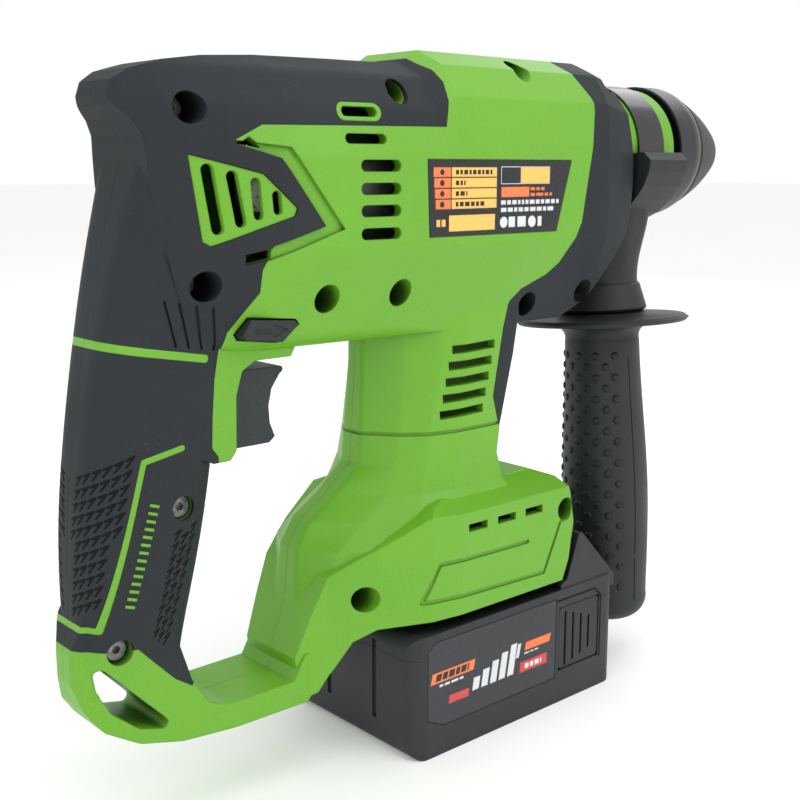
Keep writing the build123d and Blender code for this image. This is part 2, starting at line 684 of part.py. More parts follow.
save(dust_cap.part, "dust_cap")
save(ring_at(-26, 1.4, 0, 15.4, 14.01), "retaining_ring")
with BuildPart() as chuck_sleeve:
    with BuildSketch(Plane.XZ):
        with BuildLine():
            Polyline((-57.8, 27.45), (-57.8, 28.5), (-49, 28.5))
            ThreePointArc((-49, 28.5), (-44, 28), (-40.6, 26.5))
            Polyline((-40.6, 26.5), (-40.6, 24.4), (-44.4, 24.2), (-45, 14.35), (-50, 14.35), (-50, 22),
                     (-50.8, 27.45), (-57.8, 27.45))
        make_face()
    revolve(axis=Axis.X)
save(chuck_sleeve.part, "chuck_sleeve")

# ---- side handle: drawn hanging straight down, then tilted about the spindle axis ----
def tilted(part):
    return part.rotate(Axis.X, SIDE_HANDLE_TILT)


def stem(points):
    """Revolved about the side handle's own axis: points are (radius, z)."""
    with BuildPart() as form:
        with BuildSketch(Plane.XZ):
            with BuildLine():
                Polyline(*[(SIDE_HANDLE_X + r, z) for r, z in points], close=True)
            make_face()
        revolve(axis=Axis((SIDE_HANDLE_X, 0, 0), (0, 0, 1)))
    return form.part


# height, length along X, width, corner radius
NECK_SECTIONS = [(-18, 23, 46, 9), (-30, 24, 44, 9), (-44, 27, 36, 12), (-57.5, 31, 32, 15)]
with BuildPart() as clamp_body:
    with BuildSketch(Plane.YZ.offset(-91.5)):
        with BuildLine():
            Polyline((-20, -3), (-33.5, -3), (-37, -6.5), (-36, -11), (-33, -17), (-28, -22.5), (-21, -27.5),
                     (-12, -31), (12, -31), (21, -27.5), (28, -22.5), (33, -17), (36, -11), (37, -6.5),
                     (33.5, -3), (20, -3), close=True)
        make_face()
    extrude(amount=26)
    for z, long, wide, radius in NECK_SECTIONS:
        with BuildSketch(Plane.XY.offset(z)):
            with Locations((SIDE_HANDLE_X, 0)):
                RectangleRounded(long, wide, radius)
    loft()
    add(stem([(0, -57.4), (16.4, -57.4), (17.2, -58.4), (20, -68.6), (19.4, -69.5), (0, -69.5)]))
    add(turned([(-100, 0), (-100, COLLAR_R + 0.08), (-50, COLLAR_R + 0.08), (-50, 0)]), mode=Mode.SUBTRACT)
    # groove the steel band lies in
    add(ring_at(-87.7, 18.4, 0, 28.2, 26), mode=Mode.SUBTRACT)
    # bolt passage and the flat seat of its head
    add(stem([(0, -20), (0, -75), (4.3, -75), (4.3, -20)]), mode=Mode.SUBTRACT)
    add(block(SIDE_HANDLE_X - 7.7, SIDE_HANDLE_X + 7.7, -7.7, 7.7, -36, -27), mode=Mode.SUBTRACT)
save(tilted(clamp_body.part), "clamp_body")
with BuildPart() as clamp_band:
    add(ring_at(-87, 17, 0, 28, 27.08))
    with BuildSketch(Plane.YZ.offset(-88)):
        Rectangle(80, 80)
        with BuildLine():
            Polyline((0, 0), (-6, -40), (6, -40), close=True)
        make_face(mode=Mode.SUBTRACT)
    extrude(amount=20, mode=Mode.INTERSECT)
save(tilted(clamp_band.part), "clamp_band")
with BuildPart() as clamp_bolt:
    with BuildSketch(Plane.XY.offset(-35.5)):
        with Locations((SIDE_HANDLE_X, 0)):
            RegularPolygon(7.3, 6)
    extrude(amount=5.5)
    add(stem([(0, -32), (4, -32), (4, -98), (3.2, -99), (0, -99)]))
save(tilted(clamp_bolt.part), "clamp_bolt")
with BuildPart() as side_grip:
    with BuildSketch(Plane.XZ):
        with BuildLine():
            Polyline((SIDE_HANDLE_X, -70), (SIDE_HANDLE_X + 18, -70), (SIDE_HANDLE_X + 21, -71.5),
                     (SIDE_HANDLE_X + 36.5, -72.2), (SIDE_HANDLE_X + 38.2, -73.4), (SIDE_HANDLE_X + 37, -74.8),
                     (SIDE_HANDLE_X + 20, -76.5))
            ThreePointArc((SIDE_HANDLE_X + 20, -76.5), (SIDE_HANDLE_X + 17.3, -78.5), (SIDE_HANDLE_X + 16.5, -83))
            Spline((SIDE_HANDLE_X + 16.5, -83), (SIDE_HANDLE_X + 17.5, -110), (SIDE_HANDLE_X + 19.2, -150),
                   (SIDE_HANDLE_X + 18.4, -180), (SIDE_HANDLE_X + 17.4, -199))
            ThreePointArc((SIDE_HANDLE_X + 17.4, -199), (SIDE_HANDLE_X + 14, -208.5), (SIDE_HANDLE_X + 6, -211))
            Polyline((SIDE_HANDLE_X + 6, -211), (SIDE_HANDLE_X, -211), (SIDE_HANDLE_X, -70))
        make_face()
    revolve(axis=Axis((SIDE_HANDLE_X, 0, 0), (0, 0, 1)))
    add(stem([(0, -60), (4.06, -60), (4.06, -102), (0, -102)]), mode=Mode.SUBTRACT)
    with BuildSketch(Plane.XY.offset(-94)):
        with Locations((SIDE_HANDLE_X, 0)):
            RegularPolygon(7.5, 6)
    extrude(amount=8, mode=Mode.SUBTRACT)
save(tilted(side_grip.part), "side_grip")
with BuildPart() as side_grip_nut:
    with BuildSketch(Plane.XY.offset(-93.9)):
        with Locations((SIDE_HANDLE_X, 0)):
            RegularPolygon(7.4, 6)
            Circle(4.06, mode=Mode.SUBTRACT)
    extrude(amount=7.8)
save(tilted(side_grip_nut.part), "side_grip_nut")

# ---- trigger, direction button, mode knob ----
with BuildPart() as trigger:
    add(side_prism([(-255, -74.4), (-260, -77), (-263.6, -82), (-265, -88), (-264.6, -94), (-262.6, -99),
                    (-265, -101), (-289, -101), (-289, -74.4)], -8.8, 8.8))
    fillet(trigger.edges().filter_by(Axis.Y).group_by(Axis.X)[-1], 1.2)
    add(block(-286.5, -268, -6.8, 6.8, -98.5, -77), mode=Mode.SUBTRACT)
    add(block(-290, -285, -6.8, 6.8, -98.5, -77), mode=Mode.SUBTRACT)
    add(block(-290.5, -267.9, -2, 2, -89, -85))
save(trigger.part, "trigger")
with BuildPart() as direction_button:
    add(side_prism([(-285.8, -59.8), (-282.4, -55), (-265.4, -56.5), (-263.9, -58), (-270.4, -63.3),
                    (-284.7, -61.5)], -25.5, 25.5))
    # arrow on each end
    for y0, y1 in ((-26, -25.1), (25.1, 26)):
        add(side_prism([(-281.5, -58.3), (-274, -58.9), (-274, -57.3), (-268, -59.2), (-274, -61.7),
                        (-274, -60.3), (-281.5, -59.7)], y0, y1), mode=Mode.SUBTRACT)
save(direction_button.part, "direction_button")
with BuildPart() as mode_knob:
    add(rod(-150, -22, 17, 36, 38.5))
    add(rod(-150, -22, 14.5, 38.5, 41))
    add(block(-162, -138, 40.9, 46.5, -27, -17))
    fillet(mode_knob.edges().filter_by(Axis.Y).filter_by_position(Axis.Y, 42, 46), 4)
    add(rod(-150, -22, 4.4, 25.5, 36))
    add(block(-152.6, -147.4, 44, 47, -24.6, -19.4), mode=Mode.SUBTRACT)
save(mode_knob.part, "mode_knob")
save(block(-152.5, -147.5, 44.1, 47.2, -24.5, -19.5), "mode_knob_lock")

# ---- switch, board and terminals ----
with BuildPart() as switch_module:
    add(block(-325, -297, -11, 11, -101, -77))
    fillet(switch_module.edges().filter_by(Axis.Y), 2)
    add(block(-311, -300, -7, 7, -77.1, -70))
    with Locations((-318, 0, -101)):
        Cylinder(4.5, 14)
save(switch_module.part, "switch_module")
with BuildPart() as controller_board:
    add(block(-208, -150, -24, 24, -152, -150.4))
    add(block(-206, -196, -20, 20, -150.5, -146))
    for px in (-188, -176):
        for py in (-13, 0, 13):
            add(block(px - 4, px + 4, py - 4.5, py + 4.5, -150.5, -148))
    with Locations((-162, -12, -146), (-162, 12, -146)):
        Cylinder(4.5, 9)
save(controller_board.part, "controller_board")
with BuildPart() as terminal_block:
    add(block(-216, -210.2, -24, 24, -169.5, -155))
    for py in (-15, -5, 5, 15):
        add(block(-210.3, -198, py - 0.5, py + 0.5, -168, -163))
save(terminal_block.part, "terminal_block")

# ---- battery ----
def pack_form(inset):
    """Case with its raised nose in front of the foot."""
    with BuildPart() as form:
        with BuildSketch(Plane.XY.offset(BATTERY_LOW + inset)):
            with Locations(((BATTERY_REAR + BATTERY_FRONT) / 2, 0)):
                RectangleRounded(BATTERY_FRONT - BATTERY_REAR - 2 * inset, 2 * (BATTERY_HALF - inset),
                                 7 - inset)
        extrude(amount=BATTERY_TOP - BATTERY_LOW - 2 * inset)
        rear, front = BATTERY_REAR + inset, BATTERY_FRONT - inset
        low, top = BATTERY_LOW + inset, BATTERY_TOP - inset
        add(side_prism([(rear, low), (front, low), (front, top), (rear, top)], -60, 60, 5.5 - inset),
            mode=Mode.INTERSECT)
        add(side_prism([(-140 + inset, -182), (-140 + inset, -176 - inset), (-136.3 + inset, -174.5 - inset),
                        (-129.5 + inset * 0.6, -156 - inset * 1.6), (-127.5, -156 - inset * 1.6),
                        (-105.5 - inset * 0.8, -179 - inset * 0.8), (-105.5 - inset, -184)],
                       -BATTERY_HALF + 0.5 + inset, BATTERY_HALF - 0.5 - inset))
    return form.part


# label panel on each side of the battery
PANEL = [(-215.6, -184.2), (-211, -181.2), (-143.2, -181.2), (-143.2, -216), (-207, -216), (-215.6, -212)]
with BuildPart() as pack_shell:
    add(pack_form(0))
    # tongue that rides in the foot
    add(block(-205.5, -139.9, -22, 22, -178.1, -169.4))
    add(block(-205.5, -139.9, -26, 26, -169.5, -162))
    add(block(-140, -131, -22, 22, -176, -169))
    add(block(-140, -131, -26, 26, -169.5, -162))
    add(pack_form(2.4), mode=Mode.SUBTRACT)
    add(block(-203.5, -142, -20, 20, -181, -171), mode=Mode.SUBTRACT)
    for py in (-15, -5, 5, 15):
        add(block(-206, -196, py - 1.2, py + 1.2, -168.6, -162.6), mode=Mode.SUBTRACT)
    # bays of the two release buttons
    add(block(-141.4, -115.6, -40, -34, -213.4, -185.6), mode=Mode.SUBTRACT)
    add(block(-141.4, -115.6, 34, 40, -213.4, -185.6), mode=Mode.SUBTRACT)
    # raised panel bed on each side
    for y0, y1 in ((-40, -BATTERY_HALF + 0.5), (BATTERY_HALF - 0.5, 40)):
        add(side_prism(PANEL, y0, y1), mode=Mode.SUBTRACT)
    # groove framing panel and button
    for y0, y1 in ((-40, -BATTERY_HALF + 0.7), (BATTERY_HALF - 0.7, 40)):
        add(strokes([(-143.6, -182.4), (-119, -182.4), (-114.6, -186.5), (-114.6, -214)], 0.8, y0, y1),
            mode=Mode.SUBTRACT)
    # two ribs' grooves down the rear face
    for py in (-14, 14):
        add(block(-223, -221, py - 1.2, py + 1.2, -216, -184), mode=Mode.SUBTRACT)
with BuildPart() as battery_lower_case:
    add(pack_shell.part)
    split(bisect_by=Plane.XY.offset(BATTERY_SEAM), keep=Keep.BOTTOM)
save(battery_lower_case.part, "battery_lower_case")
with BuildPart() as battery_upper_case:
    add(pack_shell.part)
    split(bisect_by=Plane.XY.offset(BATTERY_SEAM + 0.02), keep=Keep.TOP)
save(battery_upper_case.part, "battery_upper_case")

with BuildPart() as battery_cells:
    for row in (-215.6, -197):
        for i in range(5):
            add(rod(-201 + 19 * i, row, CELL_R, -32.5, 32.5))
save(battery_cells.part, "battery_cells")
with BuildPart() as cell_links:
    for y0, y1 in ((-32.9, -32.52), (32.52, 32.9)):
        for i in range(5):
            add(block(-204.5 + 19 * i, -197.5 + 19 * i, y0, y1, -219.5, -193))
save(cell_links.part, "cell_links")
with BuildPart() as battery_board:
    add(block(-206, -146, -19, 19, -186.4, -185))
    add(block(-200, -190, -15, 15, -185.1, -183))
save(battery_board.part, "battery_board")
with BuildPart() as battery_contacts:
    for py in (-15, -5, 5, 15):
        for dy in (-1.15, 0.75):
            add(block(-204, -197, py + dy, py + dy + 0.4, -168.5, -162.7))
save(battery_contacts.part, "battery_contacts")
for side, name in ((-1, "battery_release_right"), (1, "battery_release_left")):
    with BuildPart() as release:
        a, b = sorted((side * 34.6, side * 37.2))
        add(block(-141, -116, a, b, -213, -186))
        fillet(release.edges().filter_by(Axis.Y), 2)
        c, d = sorted((side * 36, side * 38))
        for i in range(4):
            add(block(-137.6 + 5 * i, -136.4 + 5 * i, c, d, -212 + 1.3 * i, -188 - 1.8 * i), mode=Mode.SUBTRACT)
    save(release.part, name)
for side, name in ((-1, "battery_panel_right"), (1, "battery_panel_left")):
    a, b = sorted((side * (BATTERY_HALF - 0.48), side * (BATTERY_HALF - 0.05)))
    with BuildPart() as panel:
        with BuildSketch(Plane.XZ.offset(-b)):
            with BuildLine():
                Polyline(*PANEL, close=True)
            make_face()
            offset(amount=-0.25, kind=Kind.INTERSECTION)
        extrude(amount=b - a)
    save(panel.part, name)
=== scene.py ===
import math
import random

import bmesh
import bpy
from mathutils import Matrix, Vector
from mathutils.bvhtree import BVHTree


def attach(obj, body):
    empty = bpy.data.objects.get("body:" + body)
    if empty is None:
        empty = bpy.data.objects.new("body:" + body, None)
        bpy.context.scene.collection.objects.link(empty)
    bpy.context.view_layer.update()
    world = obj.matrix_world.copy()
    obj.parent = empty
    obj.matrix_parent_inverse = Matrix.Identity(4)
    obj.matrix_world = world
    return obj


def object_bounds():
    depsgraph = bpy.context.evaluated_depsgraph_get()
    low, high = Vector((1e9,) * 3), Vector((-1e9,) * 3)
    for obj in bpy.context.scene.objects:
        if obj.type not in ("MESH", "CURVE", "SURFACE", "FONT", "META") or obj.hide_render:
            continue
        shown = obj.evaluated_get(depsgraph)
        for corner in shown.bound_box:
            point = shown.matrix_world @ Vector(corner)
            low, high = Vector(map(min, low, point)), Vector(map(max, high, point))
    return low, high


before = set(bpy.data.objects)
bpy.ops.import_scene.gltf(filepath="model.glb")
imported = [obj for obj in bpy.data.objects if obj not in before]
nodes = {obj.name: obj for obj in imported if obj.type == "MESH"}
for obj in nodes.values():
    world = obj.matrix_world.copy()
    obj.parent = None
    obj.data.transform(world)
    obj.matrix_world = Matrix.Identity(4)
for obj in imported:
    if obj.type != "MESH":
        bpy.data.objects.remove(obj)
cad_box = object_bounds()
random.seed(7)
MM = 0.001

# finishes: radius of softened edges, spacing of dust specks, strength of the painted shade in recesses
MOULD_SOFTENING = 0.8 * MM
METAL_SOFTENING = 0.3 * MM
SPECK_SCALE = 420
SPECK_COLOUR = "B9BDBF"
RECESS_SHADE = 0.16


# ---------------------------------------------------------------- materials
def linear(hex_colour):
    """An sRGB hex colour as linear RGBA."""
    out = []
    for i in (0, 2, 4):
        c = int(hex_colour[i:i + 2], 16) / 255
        out.append(c / 12.92 if c <= 0.04045 else ((c + 0.055) / 1.055) ** 2.4)
    return (*out, 1.0)


class Graph:
    """A material and the few node recipes that all finishes share."""

    def __init__(self, name):
        self.mat = bpy.data.materials.new(name)
        self.mat.use_nodes = True
        self.tree = self.mat.node_tree
        self.shader = self.tree.nodes["Principled BSDF"]
        self.coords = self.add("ShaderNodeTexCoord").outputs["Object"]
        self.normal = None

    def add(self, kind, **values):
        node = self.tree.nodes.new(kind)
        for key, value in values.items():
            setattr(node, key, value)
        return node

    def link(self, a, b):
        self.tree.links.new(a, b)

    def noise(self, scale, detail=3.0, rough=0.5, coords=None):
        node = self.add("ShaderNodeTexNoise")
        node.inputs["Scale"].default_value = scale
        node.inputs["Detail"].default_value = detail
        node.inputs["Roughness"].default_value = rough
        self.link(coords or self.coords, node.inputs["Vector"])
        return node.outputs["Fac"]

    def ramp(self, fac, low, high, a=(0, 0, 0, 1), b=(1, 1, 1, 1)):
        node = self.add("ShaderNodeValToRGB")
        node.color_ramp.elements[0].position = low
        node.color_ramp.elements[0].color = a
        node.color_ramp.elements[1].position = high
        node.color_ramp.elements[1].color = b
        self.link(fac, node.inputs["Fac"])
        return node.outputs["Color"]

    def mix(self, fac, a, b):
        node = self.add("ShaderNodeMix", data_type="RGBA")
        for socket, value in ((node.inputs[6], a), (node.inputs[7], b)):
            if isinstance(value, tuple):
                socket.default_value = value
            else:
                self.link(value, socket)
        if isinstance(fac, float):
            node.inputs[0].default_value = fac
        else:
            self.link(fac, node.inputs[0])
        return node.outputs[2]

    def bump(self, height, strength, distance):
        node = self.add("ShaderNodeBump")
        node.inputs["Strength"].default_value = strength
        node.inputs["Distance"].default_value = distance
        self.link(height, node.inputs["Height"])
        if self.normal is not None:
            self.link(self.normal, node.inputs["Normal"])
        self.normal = node.outputs["Normal"]

    def soften(self, radius):
        """Rounds the look of sharp edges."""
        node = self.add("ShaderNodeBevel", samples=4)
        node.inputs["Radius"].default_value = radius
        self.normal = node.outputs["Normal"]

    def painted_shade_mask(self, reach=14 * MM):
        """Mask for painted shade: 1 in the open, falling to 0 deep in recesses and slots."""
        node = self.add("ShaderNodeAmbientOcclusion", samples=6)
        node.inputs["Distance"].default_value = reach
        return self.ramp(node.outputs["AO"], 0.12, 0.55)

    def done(self, colour=None, rough=None):
        if colour is not None:
            self.link(colour, self.shader.inputs["Base Color"])
        if rough is not None:
            self.link(rough, self.shader.inputs["Roughness"])
        if self.normal is not None:
            self.link(self.normal, self.shader.inputs["Normal"])
        return self.mat


def moulded(name, dark, base, light, rough=(0.42, 0.55), grain=1800, depth=0.25, specks=0.0, gloss=0.4):
    """Spark-eroded plastic or rubber: fine grain, slow tone drift, optional dust specks, painted shade
    in recesses.
    """
    g = Graph(name)
    g.soften(MOULD_SOFTENING)
    drift = g.ramp(g.noise(14, 4), 0.32, 0.68)
    tone = g.mix(drift, linear(dark), linear(base))
    fine = g.ramp(g.noise(grain, 2), 0.35, 0.85)
    tone = g.mix(fine, tone, g.mix(0.45, tone, linear(light)))
    if specks:
        spots = g.add("ShaderNodeTexVoronoi")
        spots.inputs["Scale"].default_value = SPECK_SCALE
        g.link(g.coords, spots.inputs["Vector"])
        mask = g.ramp(spots.outputs["Distance"], 0.04, 0.08, (1, 1, 1, 1), (0, 0, 0, 1))
        patch = g.ramp(g.noise(60, 2), 0.52, 0.6)
        spot = g.add("ShaderNodeMath", operation="MULTIPLY")
        g.link(mask, spot.inputs[0])
        g.link(patch, spot.inputs[1])
        scaled = g.add("ShaderNodeMath", operation="MULTIPLY")
        scaled.inputs[1].default_value = specks
        g.link(spot.outputs[0], scaled.inputs[0])
        tone = g.mix(scaled.outputs[0], tone, linear(SPECK_COLOUR))
    # painted shade: the tone falls to a dim copy of the dark tone where ambient occlusion finds recesses
    # and slots
    shadow = tuple(RECESS_SHADE * value for value in linear(dark)[:3]) + (1,)
    tone = g.mix(g.painted_shade_mask(), shadow, tone)
    g.bump(g.noise(grain, 4, 0.6), depth, 0.05 * MM)
    g.bump(g.noise(9, 2), 0.10, 0.6 * MM)
    spread = g.ramp(g.noise(30, 5), 0.3, 0.7, (rough[0],) * 3 + (1,), (rough[1],) * 3 + (1,))
    g.shader.inputs["Specular IOR Level"].default_value = gloss
    return g.done(tone, spread)


def machined(name, colour, rough=(0.22, 0.38), metallic=1.0, stretch=(1, 60, 60)):
    """Turned or rolled metal with faint streaks."""
    g = Graph(name)
    g.soften(METAL_SOFTENING)
    mapping = g.add("ShaderNodeMapping")
    mapping.inputs["Scale"].default_value = stretch
    g.link(g.coords, mapping.inputs["Vector"])
    streaks = g.noise(40, 6, 0.6, mapping.outputs["Vector"])
    tone = g.mix(g.ramp(streaks, 0.3, 0.7), linear(colour), g.mix(0.3, linear(colour), (1, 1, 1, 1)))
    g.bump(streaks, 0.12, 0.03 * MM)
    g.shader.inputs["Metallic"].default_value = metallic
    return g.done(tone, g.ramp(streaks, 0.3, 0.7, (rough[0],) * 3 + (1,), (rough[1],) * 3 + (1,)))


GREEN = moulded("green_plastic", "5E9F18", "66A71C", "80C03E", (0.40, 0.50), 2600, 0.30,
                gloss=0.5)
SOFT = moulded("soft_grip", "1D2124", "22272A", "32383C", (0.58, 0.72), 3200, 0.30, specks=0.2,
               gloss=0.3)
DARK = moulded("dark_plastic", "1C1F22", "212528", "30353A", (0.48, 0.60), 2600, 0.35, specks=0.06)
PACK = moulded("pack_plastic", "212326", "26282B", "35383C", (0.45, 0.58), 2200, 0.40, specks=0.05)
TRIGGER = moulded("trigger_plastic", "202427", "2A2E32", "3E4449", (0.40, 0.52), 1500, 0.25)
SLEEVE = moulded("chuck_sleeve_plastic", "1E2022", "282A2D", "3A3C40", (0.30, 0.42), 2000, 0.18)
CAP = moulded("dust_cap_rubber", "24211F", "2F2B28", "463F3A", (0.50, 0.65), 2200, 0.25)
BAND = moulded("band_black_paint", "0B0C0D", "111213", "232426", (0.12, 0.20), 900, 0.06, gloss=0.7)
STEEL = machined("bearing_steel", "9A9A9C")
ZINC = machined("zinc_steel", "77787A", (0.28, 0.45))
BLACK_SCREW = machined("black_screw", "17191B", (0.32, 0.45), 0.6, (8, 8, 8))
ALLOY = machined("cast_alloy", "A5A7A9", (0.40, 0.60), 1.0, (20, 20, 20))
LAMINATE = machined("laminations", "56575A", (0.35, 0.55), 0.8, (400, 1, 1))
COPPER = machined("contact_brass", "C79A4B", (0.22, 0.35))
RED = moulded("signal_red", "A0160F", "B81D14", "D2453A", (0.30, 0.40), 1500, 0.2)
BOARD = moulded("board_green", "12401F", "185128", "2C6E3C", (0.30, 0.45), 900, 0.2)
WRAP = moulded("cell_wrap", "1D4C82", "23599A", "3C74B4", (0.25, 0.35), 900, 0.15)
FILM = moulded("label_film", "1C1D20", "232428", "33353A", (0.22, 0.32), 900, 0.08)
PANEL = moulded("panel_film", "292B2F", "303237", "3F4247", (0.34, 0.44), 900, 0.10)

FINISH = {
    GREEN: ["housing_left", "housing_right", "vent_grille_left", "vent_grille_right", "nose_collar"],
    SOFT: ["grip_overmould_left", "grip_overmould_right", "front_overmould_left",
           "front_overmould_right"],
    DARK: ["motor_cradle", "switch_module", "terminal_block", "cooling_fan", "clamp_body", "side_grip",
           "mode_knob", "dust_seal", "direction_button"],
    PACK: ["battery_lower_case", "battery_upper_case", "battery_release_left",
           "battery_release_right"],
    TRIGGER: ["trigger"],
    SLEEVE: ["chuck_sleeve"],
    CAP: ["dust_cap"],
    BAND: ["clamp_band"],
    STEEL: ["spindle_bearing", "rotor_bearing_front", "rotor_bearing_rear", "shaft_bearing_front",
            "shaft_bearing_rear", "piston", "striker", "beat_piece", "spindle", "spindle_gear",
            "intermediate_shaft", "drive_gear", "wobble_hub", "wobble_ring", "rotor_shaft"],
    ZINC: ["clamp_bolt", "side_grip_nut", "retaining_ring", "locking_balls", "cell_links"],
    BLACK_SCREW: ["housing_screws"],
    ALLOY: ["gear_case"],
    LAMINATE: ["motor_stator", "rotor_core"],
    COPPER: ["battery_contacts"],
    RED: ["mode_knob_lock"],
    BOARD: ["controller_board", "battery_board"],
    WRAP: ["battery_cells"],
    FILM: ["rating_label"],
    PANEL: ["battery_panel_left", "battery_panel_right"],
}
for material, names in FINISH.items():
    for name in names:
        data = nodes[name].data
        data.materials.clear()
        data.materials.append(material)


# ---------------------------------------------------------------- pieces laid on the CAD surfaces
# how far laid pieces reach under the surface, and how far outside rays start
SUNK = 0.3
SIDE_START = 0.2
ROUND_START = 0.06


def tree_of(*names):
    """One search tree over the meshes of CAD nodes."""
    points, faces = [], []
    for name in names:
        mesh = nodes[name].data
        start = len(points)
        points.extend(v.co.copy() for v in mesh.vertices)
        faces.extend([start + i for i in p.vertices] for p in mesh.polygons)
    return BVHTree.FromPolygons(points, faces)


def from_side(side):
    """Rays along Y for outlines drawn as (x, z) in mm: side is -1 on the right, 1 on the left."""
    return lambda x, z: (Vector((x * MM, side * SIDE_START, z * MM)), Vector((0, -side, 0)))


def fill(outline, step):
    """Points and triangles of a filled outline, no edge longer than step."""
    bm = bmesh.new()
    bm.faces.new([bm.verts.new((x, z, 0)) for x, z in outline])
    bmesh.ops.triangulate(bm, faces=bm.faces[:])
    for _ in range(5):
        long_edges = [e for e in bm.edges if e.calc_length() > step]
        if not long_edges:
            break
        bmesh.ops.subdivide_edges(bm, edges=long_edges, cuts=1)
        bmesh.ops.triangulate(bm, faces=[f for f in bm.faces if len(f.verts) > 3])
    bm.verts.index_update()
    points = [(v.co.x, v.co.y) for v in bm.verts]
    faces = [[v.index for v in f.verts] for f in bm.faces]
    rim = [(e.verts[0].index, e.verts[1].index) for e in bm.edges if e.is_boundary]
    bm.free()
    return points, faces, rim


def lay(name, outlines, place, tree, material, body, lift=0.12, step=3.0, crown=0.0):
    """Thin closed shapes laid on a surface: place turns a point of an outline in mm into a ray."""
    bm = bmesh.new()
    for outline in outlines:
        points, faces, rim = fill(outline, step)
        on_rim = {i for pair in rim for i in pair}
        tops, lows = [], []
        for i, (x, z) in enumerate(points):
            start, way = place(x, z)
            hit = tree.ray_cast(start, way)[0]
            if hit is None:
                break
            rise = lift + (0 if i in on_rim else crown)
            tops.append(bm.verts.new(hit - way * rise * MM))
            lows.append(bm.verts.new(hit + way * SUNK * MM))
        if len(tops) < len(points):
            for vert in tops + lows:
                bm.verts.remove(vert)
            continue
        for face in faces:
            bm.faces.new([tops[i] for i in face])
            bm.faces.new([lows[i] for i in reversed(face)])
        for a, b in rim:
            bm.faces.new([tops[a], tops[b], lows[b], lows[a]])
    bmesh.ops.recalc_face_normals(bm, faces=bm.faces[:])
    mesh = bpy.data.meshes.new(name)
    bm.to_mesh(mesh)
    bm.free()
    mesh.materials.append(material)
    piece = bpy.data.objects.new(name, mesh)
    bpy.context.scene.collection.objects.link(piece)
    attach(piece, body)
    return piece


def oblong(x0, z0, x1, z1, lean=0.0):
    """A rectangle whose top is shifted by lean."""
    return [(x0, z0), (x1, z0), (x1 + lean, z1), (x0 + lean, z1)]


def disc(x, z, radius, count=12):
    return [(x + radius * math.cos(math.tau * i / count), z + radius * math.sin(math.tau * i / count))
            for i in range(count)]


def words(x0, x1, z0, z1, shortest=1.6, longest=4.5, lean=0.0):
    """A line of print without letters: bars of random length."""
    out = []
    x = x0
    while x < x1 - 0.6:
        end = min(x + random.uniform(shortest, longest), x1)
        out.append(oblong(x, z0, end, z1, lean))
        x = end + 0.7
    return out


# handle grip: middle of its section by height
GRIP_MIDDLE = [(-60, -296.5), (-100, -303.5), (-132, -308.0), (-160, -311.5), (-174, -313.0)]


def between(table, key):
    """Straight interpolation in a falling table of (key, value)."""
    for (a, va), (b, vb) in zip(table, table[1:]):
        if key >= b:
            return va + (vb - va) * (a - key) / (a - b)
    return table[-1][1]


def round_grip(side):
    """Rays towards the grip for outlines drawn as (degrees from the side to the rear, z in mm)."""
    def place(turn, z):
        angle = math.radians(turn)
        out = Vector((-math.sin(angle), side * math.cos(angle), 0))
        middle = Vector((between(GRIP_MIDDLE, z) * MM, 0, z * MM))
        return middle + out * ROUND_START, -out
    return place


# one notch as a small hook, in mm, and how it is stretched to degrees round the grip and mm down it
NOTCH = [(-1.3, -1.6), (-0.7, -1.7), (1.1, 1.0), (1.1, 1.7), (0.4, 1.6), (-1.3, 0.7), (-1.2, 0.1),
         (-0.1, 0.35)]
NOTCH_TURN = 3.1
NOTCH_HIGH = 1.15
# front edge of the rear field in degrees by height, its rear edge and its lower end
NOTCH_FRONT = [(-98, 34), (-118, 40), (-131, 46), (-150, 60)]
NOTCH_REAR = 82
NOTCH_LOW = -146
# the front field stays clear of the grip's screw
SCREW_Z = -115.0
SCREW_CLEAR = 7.5


def notches():
    """The two fields of small notches on the grip, as outlines in (degrees, z)."""
    out = []
    places = []
    for row in range(13):
        for column in range(7):
            turn = 35.8 + 1.05 * row + 8.2 * column
            z = -96.7 - 4.4 * row - 1.25 * column
            if between(NOTCH_FRONT, z) <= turn < NOTCH_REAR and z > NOTCH_LOW:
                places.append((turn, z))
        for column in range(3):
            z = -107.6 - 4.05 * row - 1.4 * column
            turn = -28.5 + 0.31 * (-107.6 - z) - 8.0 * column
            if abs(z - SCREW_Z) > SCREW_CLEAR and z > -160:
                places.append((turn, z))
    for turn, z in places:
        out.append([(turn - x * NOTCH_TURN, z + y * NOTCH_HIGH) for x, y in NOTCH])
    return out


# painted shadow: near-black pieces laid where the grip's notches, the side grip's panel groove and the
# clamp neck's hole are dark with shade
PAINTED_SHADOW = moulded("notch_shadow", "0A0C0D", "0E1012", "171A1D", (0.75, 0.88), 2600, 0.2, gloss=0.2)
ORANGE = moulded("print_orange", "E8713A", "F08048", "F69A66", (0.35, 0.5), 900, 0.05)
YELLOW = moulded("print_yellow", "F2B650", "F8C462", "FBD58A", (0.35, 0.5), 900, 0.05)
WHITE = moulded("print_white", "D3D6D8", "E0E3E5", "F0F2F3", (0.35, 0.5), 900, 0.05)
CRIMSON = moulded("print_red", "C23A38", "D64A48", "E26A66", (0.35, 0.5), 900, 0.05)

for side, word in ((-1, "right"), (1, "left")):
    grip_tree = tree_of("grip_overmould_" + word, "housing_" + word)
    # the grip's recessed notches are laid as near-black pieces: painted shadow
    lay("grip_notch_shadows_" + word, notches(), round_grip(side), grip_tree, PAINTED_SHADOW, "housing",
        lift=0.05, step=1.4)
    bars = []
    for i in range(14):
        x = -317.2 + 0.73 * i
        z = -144.0 + 2.45 * i
        bars.append([(x - 1.8, z - 0.1), (x + 1.5, z - 1.2), (x + 1.7, z - 0.2), (x - 1.6, z + 0.9)])
    lay("grip_bars_" + word, bars, from_side(side), grip_tree, GREEN, "housing",
        lift=0.4, step=2.5)

